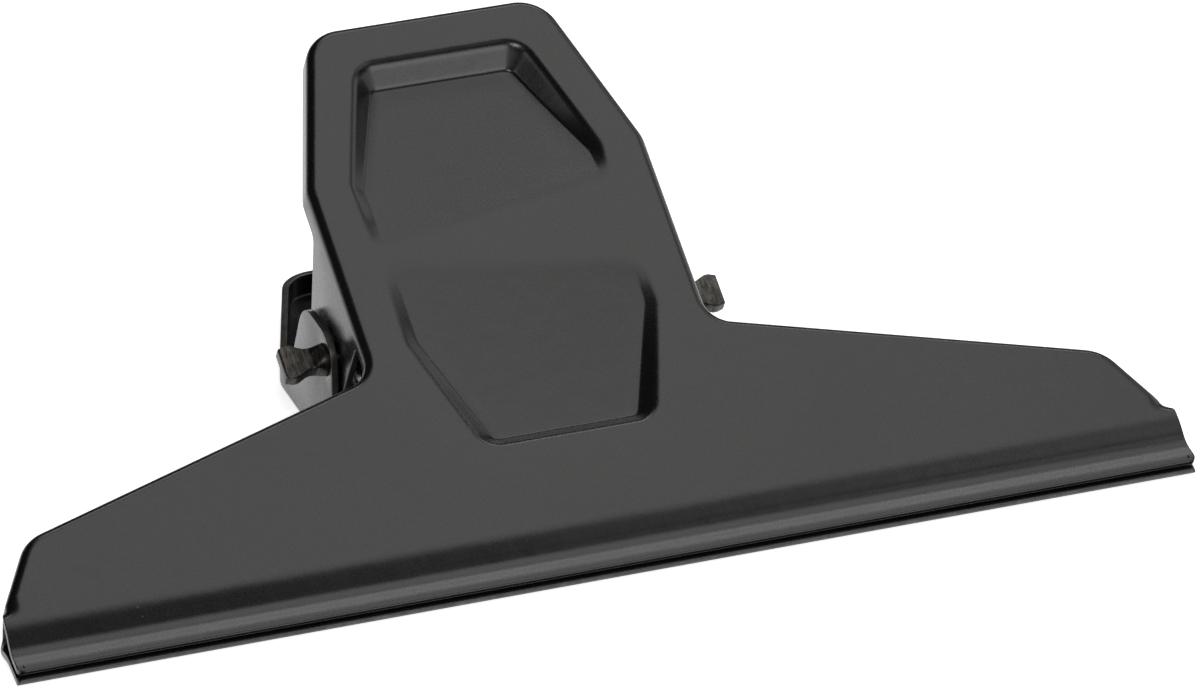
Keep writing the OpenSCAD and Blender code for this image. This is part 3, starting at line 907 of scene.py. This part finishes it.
class Wire:
    """The output of a node, usable in expressions."""

    def __init__(self, bench, socket):
        self.bench, self.socket = bench, socket

    def math(self, operation, *others):
        """A Math node on this value and the others."""
        sockets = {str(i): value for i, value in enumerate((self, *others))}
        return self.bench.node("ShaderNodeMath", {"operation": operation}, **sockets)

    def __add__(self, other):
        return self.math("ADD", other)

    def __sub__(self, other):
        return self.math("SUBTRACT", other)

    def __rsub__(self, other):
        return (self * -1) + other

    def __mul__(self, other):
        return self.math("MULTIPLY", other)

    def __gt__(self, other):
        return self.math("GREATER_THAN", other)

    def __lt__(self, other):
        return self.math("LESS_THAN", other)

    __radd__, __rmul__ = __add__, __mul__

    def between(self, low, high, start=0.0, end=1.0):
        """Eased from start to end as the value goes from low to high."""
        settings = {"interpolation_type": "SMOOTHSTEP"}
        return self.bench.node("ShaderNodeMapRange", settings, Value=self,
                               **{"From Min": low, "From Max": high,
                                  "To Min": start, "To Max": end})


class Bench:
    """The node tree of one finish."""

    def __init__(self, name):
        self.finish = bpy.data.materials.new(name)
        self.finish.use_nodes = True
        self.tree = self.finish.node_tree
        self.tree.nodes.clear()

    def node(self, kind, settings=None, output=0, **sockets):
        """Adds a node: its settings first, then the values or wires of its sockets."""
        made = self.tree.nodes.new(kind)
        for key, value in (settings or {}).items():
            setattr(made, key, value)
        for key, value in sockets.items():
            socket = made.inputs[int(key) if key.isdigit() else key]
            if isinstance(value, Wire):
                self.tree.links.new(value.socket, socket)
            else:
                socket.default_value = value
        return Wire(self, made.outputs[output])

    def end(self, kind, shader):
        """The last node of the tree, which takes the finished shader."""
        last = self.tree.nodes.new(kind)
        self.tree.links.new(shader.socket, last.inputs["Surface"])

    def mix(self, share, first, second):
        """A colour between two colours."""
        return self.node("ShaderNodeMix", {"data_type": "RGBA"}, 2,
                         **{"0": share, "6": first, "7": second})

    def noise(self, place, scale, detail, roughness):
        """Cloudy noise from 0 to 1, with scale blots to the metre."""
        return self.node("ShaderNodeTexNoise", Vector=place, Scale=scale,
                         Detail=detail, Roughness=roughness)

    def place(self, stretch=(1, 1, 1), turn=(0, 0, 0)):
        """Where a point lies on the piece, stretched so that a grain can run one way."""
        coords = self.node("ShaderNodeTexCoord", output="Object")
        return self.node("ShaderNodeMapping", Vector=coords, Scale=stretch, Rotation=turn)

    def surface(self, shader):
        """Ends the tree with this shader and gives the finish."""
        self.end("ShaderNodeOutputMaterial", shader)
        return self.finish


# %% [markdown]
# The plates are stove-enamelled: a thin, hard, glossy black coat. It has a
# faint ripple from flowing out, a fine grain that softens reflections and some
# settled dust, and it thins on the cut edges, where warm steel begins to show.

# %% Black stoving enamel
BLACK, SMEARED = (0.0030, 0.0028, 0.0027, 1), (0.0046, 0.0043, 0.0041, 1)
DUST, WARM_STEEL = (0.055, 0.054, 0.052, 1), (0.19, 0.175, 0.16, 1)
DUST_SIZE, DUST_SHARE = 0.085, 0.6


def enamel():
    """The plates' coat: ripple, grain, smears, dust and thin cut edges."""
    bench = Bench("stoving_enamel")
    place = bench.place()
    ripple = bench.noise(place, 420.0, 2.0, 0.45)
    grain = bench.noise(place, 5200.0, 2.0, 0.6)
    smears = bench.noise(bench.place((1.0, 0.35, 1.0), (0, 0, 0.5)), 60.0, 4.0, 0.6)
    dust = bench.node("ShaderNodeTexVoronoi", {"feature": "F1"}, Vector=place,
                      Scale=620.0, Randomness=1.0)
    pick = bench.noise(place, 230.0, 1.0, 0.5)
    speck = (dust < DUST_SIZE) * (pick > DUST_SHARE)
    cut = bench.node("ShaderNodeAttribute", {"attribute_name": "cut_edge"}, output="Fac")
    thin = (cut + (bench.noise(place, 900.0, 3.0, 0.6) - 0.5) * 0.9).between(0.62, 1.25)
    tone = bench.mix(smears.between(0.35, 0.7), BLACK, SMEARED)
    tone = bench.mix(speck * 0.5, tone, DUST)
    tone = bench.mix(thin * 0.7, tone, WARM_STEEL)
    rough = 0.28 + (grain - 0.5) * 0.10 + (smears - 0.5) * 0.07 + thin * 0.08 + speck * 0.2
    height = ripple * 0.8 + grain * 0.05 + speck * 0.25
    bump = bench.node("ShaderNodeBump", output="Normal", Strength=0.10, Distance=0.00035,
                      Height=height)
    shader = bench.node("ShaderNodeBsdfPrincipled", **{
        "Base Color": tone, "Metallic": thin * 0.7, "Roughness": rough, "IOR": 1.5,
        "Normal": bump})
    return bench.surface(shader)


# %% [markdown]
# The axle is bare drawn rod, dark from its oil and from the heat of the press.
# The press tool has left fine marks across the flattened ends. The spring wire
# is brighter, with drawing lines that run the length of the wire.

# %% Bare steels
OILED, RUBBED = (0.018, 0.0165, 0.0145, 1), (0.098, 0.091, 0.082, 1)
PITTED, PIT_SIZE, PIT_SHARE = (0.20, 0.19, 0.175, 1), 0.22, 0.52
WIRE_DARK, WIRE_LIGHT = (0.16, 0.15, 0.14, 1), (0.42, 0.41, 0.40, 1)


def pressed_steel():
    """The axle: press marks across it, mottled oil and small pits."""
    bench = Bench("pressed_axle_steel")
    marks = bench.noise(bench.place((6.0, 0.5, 0.5)), 900.0, 3.0, 0.6)
    mottle = bench.noise(bench.place(), 1500.0, 3.0, 0.65)
    pits = bench.node("ShaderNodeTexVoronoi", {"feature": "F1"}, Vector=bench.place(),
                      Scale=2600.0, Randomness=1.0)
    pit = (pits < PIT_SIZE) * (mottle > PIT_SHARE)
    worn = marks * 0.6 + mottle * 0.4
    tone = bench.mix(worn.between(0.35, 0.68), OILED, RUBBED)
    tone = bench.mix(pit * 0.6, tone, PITTED)
    rough = 0.37 + (mottle - 0.5) * 0.3 + pit * 0.15
    bump = bench.node("ShaderNodeBump", output="Normal", Strength=0.35, Distance=0.0001,
                      Height=marks * 0.8 + mottle * 0.5 - pit * 0.5)
    shader = bench.node("ShaderNodeBsdfPrincipled", **{
        "Base Color": tone, "Metallic": 0.85, "Roughness": rough, "Normal": bump})
    return bench.surface(shader)


def spring_wire():
    """The spring: drawing lines along the wire under a little oil."""
    bench = Bench("drawn_spring_wire")
    lines = bench.noise(bench.place((0.6, 5.0, 5.0)), 1100.0, 3.0, 0.6)
    oil = bench.noise(bench.place(), 260.0, 3.0, 0.55)
    tone = bench.mix(oil.between(0.35, 0.65), WIRE_DARK, WIRE_LIGHT)
    rough = 0.30 + (lines - 0.5) * 0.25 + (oil - 0.5) * 0.15
    bump = bench.node("ShaderNodeBump", output="Normal", Strength=0.25, Distance=0.00008,
                      Height=lines)
    shader = bench.node("ShaderNodeBsdfPrincipled", **{
        "Base Color": tone, "Metallic": 0.95, "Roughness": rough, "Normal": bump})
    return bench.surface(shader)


black_enamel = enamel()
for made, finish in ((front_plate, black_enamel), (rear_plate, black_enamel),
                     (axle, pressed_steel()), (spring, spring_wire())):
    made.data.materials.append(finish)
    print(made.name, "wears", finish.name)

# %% [markdown]
# A black glossy thing is lit by what it mirrors. The white table gives the pale
# sides. Soft panels overhead give the grey face, a strip behind them gives the
# bright band on the jaw, and a small one by the camera reaches the corner of
# the recess. Everything else stays dim, so that the bends that face it go dark.

# %% Table and lights
REACH = 6.0
WARM, COOL, WHITE = (1.0, 0.985, 0.975), (0.97, 0.985, 1.0), (1, 1, 1)
CLIP = (0, 0, 0.02)
# Name, width and depth, middle and aim in metres, brightness, tint
LIGHTS = (
    ("overhead", (0.48, 0.42), (0.24, -0.05, 0.9), (0.24, -0.05, 0.0), 2.0, WARM),
    ("overhead_back", (0.48, 0.28), (0.24, 0.30, 0.9), (0.24, 0.30, 0.0), 1.3, WARM),
    ("overhead_right", (0.36, 0.66), (0.66, 0.11, 0.9), (0.66, 0.11, 0.0), 0.8, WARM),
    ("back_strip", (0.80, 0.28), (0.40, 0.60, 0.9), (0.40, 0.60, 0.0), 3.8, COOL),
    ("front_right", (0.6, 0.5), (0.68, -0.56, 0.9), (0.68, -0.56, 0.0), 1.6, WARM),
    ("low_front", (1.0, 0.6), (0.44, -1.43, 0.25), CLIP, 3.4, COOL),
    ("right_wall", (1.2, 0.9), (1.5, 0.3, 0.7), CLIP, 1.2, WARM),
    ("left_front", (0.6, 0.4), (-1.2, -0.42, 0.62), CLIP, 1.7, WARM),
    ("by_the_camera", (0.24, 0.24), (-0.25, -0.80, 0.62), CLIP, 14.0, WHITE))


def table_finish(colour, glow):
    """A pale board that takes shadows and glows only for the rays that see it."""
    bench = Bench("white_table")
    rays = bench.tree.nodes.new("ShaderNodeLightPath")
    seen = Wire(bench, rays.outputs["Is Camera Ray"]).math(
        "MAXIMUM", Wire(bench, rays.outputs["Is Glossy Ray"]))
    light = bench.mix(seen, (0, 0, 0, 1), (glow, glow, glow, 1))
    grain = bench.noise(bench.place(), 90.0, 3.0, 0.6)
    tone = bench.mix(grain, (colour, colour, colour, 1), (colour * 0.985,) * 3 + (1,))
    shader = bench.node("ShaderNodeBsdfPrincipled", **{
        "Base Color": tone, "Roughness": 0.9, "Specular IOR Level": 0.1,
        "Emission Color": light, "Emission Strength": 1.0})
    return bench.surface(shader)


table_mesh = bpy.data.meshes.new("table_top")
table_mesh.from_pydata([(-REACH, -REACH, 0), (REACH, -REACH, 0), (REACH, REACH, 0),
                        (-REACH, REACH, 0)], [], [[0, 1, 2, 3]])
table_top = bpy.data.objects.new("table_top", table_mesh)
bpy.context.scene.collection.objects.link(table_top)
table_mesh.materials.append(table_finish(colour=0.92, glow=0.78))


def soft_light(name, size, middle, aim, radiance, tint):
    """A rectangle of even light. Its power follows from how bright it should look."""
    lamp = bpy.data.lights.new(name, "AREA")
    lamp.shape, lamp.size, lamp.size_y = "RECTANGLE", size[0], size[1]
    lamp.energy = radiance * math.pi * size[0] * size[1]
    lamp.color = tint
    made = bpy.data.objects.new(name, lamp)
    made.location = middle
    made.rotation_euler = (Vector(aim) - Vector(middle)).to_track_quat("-Z", "Y").to_euler()
    bpy.context.scene.collection.objects.link(made)


for row in LIGHTS:
    soft_light(*row)
print("lights", [row[0] for row in LIGHTS])

# %% [markdown]
# Round the table stands a dim room that is white at its foot, like the table.

# %% The room
DIM, BRIGHT = (0.022, 0.022, 0.023, 1), (1, 1, 1, 1)
WHITE_TO, DIM_FROM = 0.02, 0.12
world = bpy.data.worlds.new("studio")
bpy.context.scene.world = world
world.use_nodes = True


class Room(Bench):
    """The node tree of the room round the table."""

    def __init__(self, tree):
        self.tree = tree
        self.tree.nodes.clear()


room = Room(world.node_tree)
way = room.node("ShaderNodeTexCoord", output="Generated")
height = room.node("ShaderNodeSeparateXYZ", output="Z", Vector=way)
low_wall = height.between(WHITE_TO, DIM_FROM, 1.0, 0.0)
glow = room.mix(low_wall, DIM, BRIGHT)
room.end("ShaderNodeOutputWorld", room.node("ShaderNodeBackground", Color=glow, Strength=1.0))
print("room with", len(room.tree.nodes), "nodes")

# %% [markdown]
# The camera looks down on the jaws from the front left with a long lens. Its
# place was worked out from the outline of the clip in the picture.

# %% Camera
PICTURE_PX, FOCAL_PX, SENSOR_MM = 1200.0, 9042.0, 36.0
# Turn of the front plate as the camera sees it: an axis, as long as its angle in radians
TURN = Vector((-0.514, 0.255, 0.249))
# From the middle of the lip: the picture's centre to the side and up, and the camera away
LIP_Y, SIDEWAYS, UPWARD, DISTANCE = -0.3, -2.035, 22.50, 896.9
look = bpy.data.cameras.new("camera")
look.sensor_fit, look.sensor_width = "HORIZONTAL", SENSOR_MM
look.lens = SENSOR_MM * FOCAL_PX / PICTURE_PX
look.clip_start, look.clip_end = 0.05, 20.0


def camera_axes(turn):
    """Right, up and back of the camera in the lying clip's frame."""
    rows = Matrix(Quaternion(turn.normalized(), turn.length).to_matrix())
    lean = Matrix.Rotation(SPREAD, 3, "X")
    return [lean @ Vector(rows[i]) for i in range(3)]


right, up, back = camera_axes(TURN)
y0, z0 = front_at(LIP_Y, 0.0)
origin = Vector((0.0, y0 - Y_MID, z0 + LIFT)) * MM
target = origin + (right * SIDEWAYS + up * UPWARD) * MM
eye = origin + back * DISTANCE * MM
camera = bpy.data.objects.new("camera", look)
away = (eye - target).normalized()
across = up.cross(away).normalized()
over = away.cross(across)
for i, column in enumerate((across, over, away)):
    for j in range(3):
        camera.matrix_world[j][i] = column[j]
camera.matrix_world.translation = eye
bpy.context.scene.collection.objects.link(camera)
bpy.context.scene.camera = camera
azimuth = math.degrees(math.atan2(away.x, -away.y))
print(f"camera {away.length * (eye - target).length:.3f} m away, azimuth {azimuth:.1f}, "
      f"elevation {math.degrees(math.asin(away.z)):.1f} degrees")

# %% [markdown]
# Last, the picture is set to plain colours.

# %% Finish
bpy.context.scene.view_settings.view_transform = "Standard"
